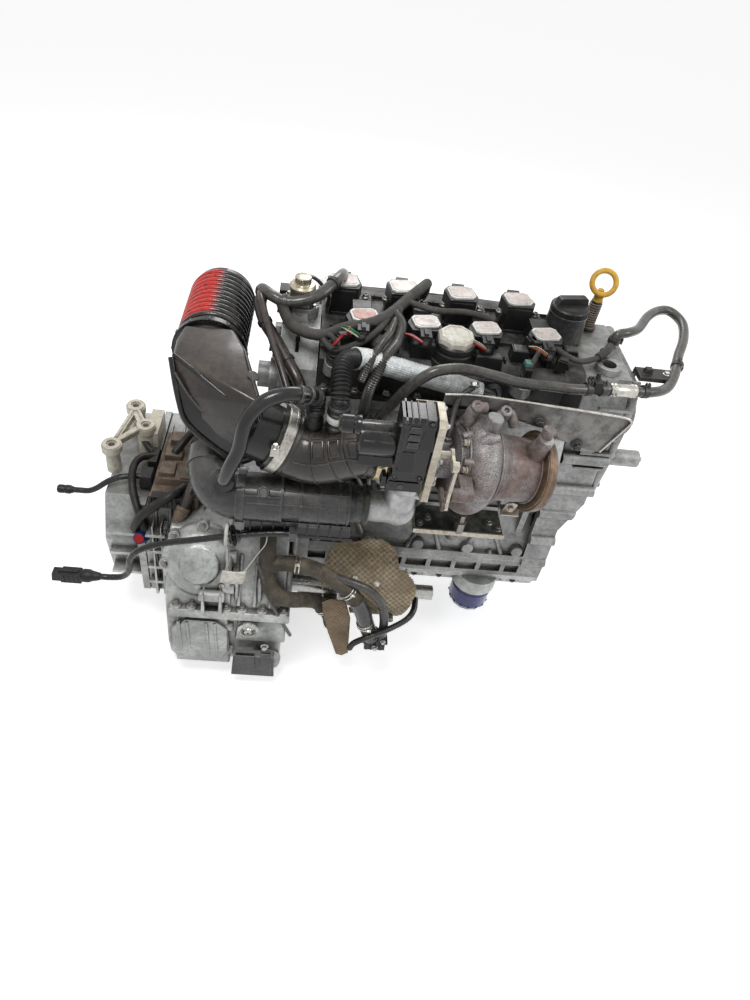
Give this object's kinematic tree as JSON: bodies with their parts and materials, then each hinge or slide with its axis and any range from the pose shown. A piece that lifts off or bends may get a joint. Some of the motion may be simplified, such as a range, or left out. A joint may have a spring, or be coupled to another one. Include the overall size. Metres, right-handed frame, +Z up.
{
  "type": "petrol engine",
  "caption": "Turbocharged inline petrol engine with its transverse gearbox, intake duct and bellows, charge pipe, heat shields, hoses and covers, as taken out of a car.",
  "frame": {"origin": "on the foot of the oil pan, 106 mm from the gearbox joint and under the crankshaft's axis", "axes": "+X along the crankshaft towards the timing end, -Y towards the exhaust and turbocharger side, +Z up"},
  "size_m": [1.0482, 0.612, 0.7049],
  "materials": {
    "cast_block": "sand-cast, dusty, with brown stains",
    "cast_case": "die-cast, dull, stained",
    "cast_clean": "cast, brighter",
    "cream_cast": "cast, cream oxide",
    "cover_plastic": "moulded, dusty",
    "gloss_black": "moulded, glossy",
    "duct_plastic": "moulded, brown with heat",
    "brown_plastic": "moulded, dusty brown",
    "pale_plastic": "moulded, off-white",
    "yellow_plastic": "moulded",
    "black_rubber": "moulded",
    "dusty_rubber": "dusty",
    "hot_iron": "rusted, mauve-brown",
    "warm_iron": "rusted",
    "shield_steel": "pressed, dull",
    "tan_shield": "embossed, tan with heat",
    "clamp_steel": "rolled band",
    "machined_steel": "machined",
    "dark_steel": "oiled",
    "plated_steel": "zinc plated",
    "support_paint": "dark teal-black paint",
    "filter_paint": "blue paint",
    "pump_brass": "dull",
    "foil_sleeve": "foil-faced woven sleeve",
    "piston_alloy": "machined"
  },
  "bodies": {
    "engine": {"cylinder_block": "cast_block", "bedplate": "cast_block", "oil_pan": "cast_case", "oil_filter": "filter_paint", "cylinder_head": "cast_clean", "cam_cover": "cover_plastic", "timing_cover": "cast_clean", "cam_end_housing": "cast_clean", "fuel_pump": "pump_brass", "breather_valve": "pale_plastic", "dipstick_tube": "dark_steel", "ignition_coils": "cover_plastic", "lift_actuators": "cover_plastic", "spark_plugs": "machined_steel", "intake_manifold": "cover_plastic", "throttle_body": "cast_clean", "fuel_rail": "machined_steel", "turbine_housing": "hot_iron", "bearing_housing": "warm_iron", "compressor_housing": "cast_clean", "wastegate_actuator": "gloss_black", "heat_shield_upper": "shield_steel", "intake_duct": "duct_plastic", "intake_bellows": "gloss_black", "inlet_elbow": "black_rubber", "band_clamps": "clamp_steel", "breather_hose": "gloss_black", "charge_resonator": "cover_plastic", "sleeved_pipe": "foil_sleeve", "coolant_hose_upper": "black_rubber", "coolant_hose_lower": "dusty_rubber", "heat_shield_lower": "tan_shield", "turbo_support": "support_paint", "clutch_housing": "cast_case", "gear_case": "cast_case", "gear_case_cover": "cast_case", "control_unit": "brown_plastic", "mount_bracket": "cream_cast", "timing_chain": "dark_steel", "sensor_lead": "black_rubber", "lead_plugs": "gloss_black", "bracket_lead": "black_rubber"},
    "crank": {"crankshaft": "machined_steel", "crank_pulley": "dark_steel", "flywheel": "dark_steel"},
    "outer_pistons": {"pistons_outer": "piston_alloy", "rods_outer": "machined_steel"},
    "inner_pistons": {"pistons_inner": "piston_alloy", "rods_inner": "machined_steel"},
    "intake_cam": {"intake_camshaft": "machined_steel"},
    "exhaust_cam": {"exhaust_camshaft": "machined_steel"},
    "rotor": {"turbo_rotor": "machined_steel"},
    "actuator_crank": {"wastegate_crank": "plated_steel"},
    "actuator_link": {"wastegate_link": "plated_steel"},
    "gate_lever": {"wastegate_lever": "warm_iron"},
    "throttle": {"throttle_plate": "pump_brass"},
    "filler_cap": {"oil_filler_cap": "cover_plastic"},
    "dipstick_rod": {"dipstick": "yellow_plastic"},
    "differential": {"final_drive": "machined_steel"},
    "countershaft": {"output_shaft": "machined_steel"}
  },
  "joints": [
    {"name": "crank_turn", "type": "hinge", "parent": "engine", "child": "crank", "pos_m": [0.101, 0, 0.205], "axis": [1, 0, 0], "range_deg": [-12, 12]},
    {"name": "outer_piston_stroke", "type": "slide", "parent": "engine", "child": "outer_pistons", "axis": [0, 0, 1], "range_m": [-0.01, 0.01]},
    {"name": "inner_piston_stroke", "type": "slide", "parent": "engine", "child": "inner_pistons", "axis": [0, 0, 1], "range_m": [-0.01, 0.01]},
    {"name": "intake_cam_turn", "type": "hinge", "parent": "engine", "child": "intake_cam", "pos_m": [0.101, 0.048, 0.516], "axis": [1, 0, 0], "range_deg": [-6.5, 6.5]},
    {"name": "exhaust_cam_turn", "type": "hinge", "parent": "engine", "child": "exhaust_cam", "pos_m": [0.101, -0.048, 0.516], "axis": [1, 0, 0], "range_deg": [-6.5, 6.5]},
    {"name": "turbo_spin", "type": "hinge", "parent": "engine", "child": "rotor", "pos_m": [0.126, -0.212, 0.513], "axis": [0.9803, 0.1204, -0.1564], "continuous": true},
    {"name": "wastegate_turn", "type": "hinge", "parent": "engine", "child": "actuator_crank", "pos_m": [0.072, -0.3, 0.6], "axis": [1, 0, 0], "range_deg": [-8, 30]},
    {"name": "link_turn", "type": "hinge", "parent": "actuator_crank", "child": "actuator_link", "pos_m": [0.076, -0.322, 0.6], "axis": [1, 0, 0], "range_deg": [-30, 8]},
    {"name": "gate_lever_turn", "type": "hinge", "parent": "engine", "child": "gate_lever", "pos_m": [0.072, -0.3, 0.53], "axis": [1, 0, 0], "range_deg": [-8, 30]},
    {"name": "throttle_turn", "type": "hinge", "parent": "engine", "child": "throttle", "pos_m": [-0.106, 0.23, 0.482], "axis": [0, 0, 1], "range_deg": [0, 80]},
    {"name": "filler_cap_turn", "type": "hinge", "parent": "engine", "child": "filler_cap", "pos_m": [0.288, 0.024, 0.648], "axis": [0, 0, 1], "range_deg": [0, 90]},
    {"name": "dipstick_pull", "type": "slide", "parent": "engine", "child": "dipstick_rod", "axis": [0, 0, 1], "range_m": [0, 0.55]},
    {"name": "drive_turn", "type": "hinge", "parent": "engine", "child": "differential", "pos_m": [-0.106, -0.185, 0.173], "axis": [1, 0, 0], "continuous": true},
    {"name": "countershaft_turn", "type": "hinge", "parent": "engine", "child": "countershaft", "pos_m": [-0.256, -0.1016, 0.22115], "axis": [1, 0, 0], "continuous": true}
  ],
  "couplings": [
    {"joint": "outer_piston_stroke", "follows": "crank_turn", "m_per_rad": 0.046},
    {"joint": "inner_piston_stroke", "follows": "crank_turn", "m_per_rad": -0.046},
    {"joint": "intake_cam_turn", "follows": "crank_turn", "ratio": 0.5},
    {"joint": "exhaust_cam_turn", "follows": "crank_turn", "ratio": 0.5},
    {"joint": "link_turn", "follows": "wastegate_turn", "ratio": -1},
    {"joint": "gate_lever_turn", "follows": "wastegate_turn", "ratio": 1},
    {"joint": "countershaft_turn", "follows": "drive_turn", "ratio": -2.6923}
  ]
}
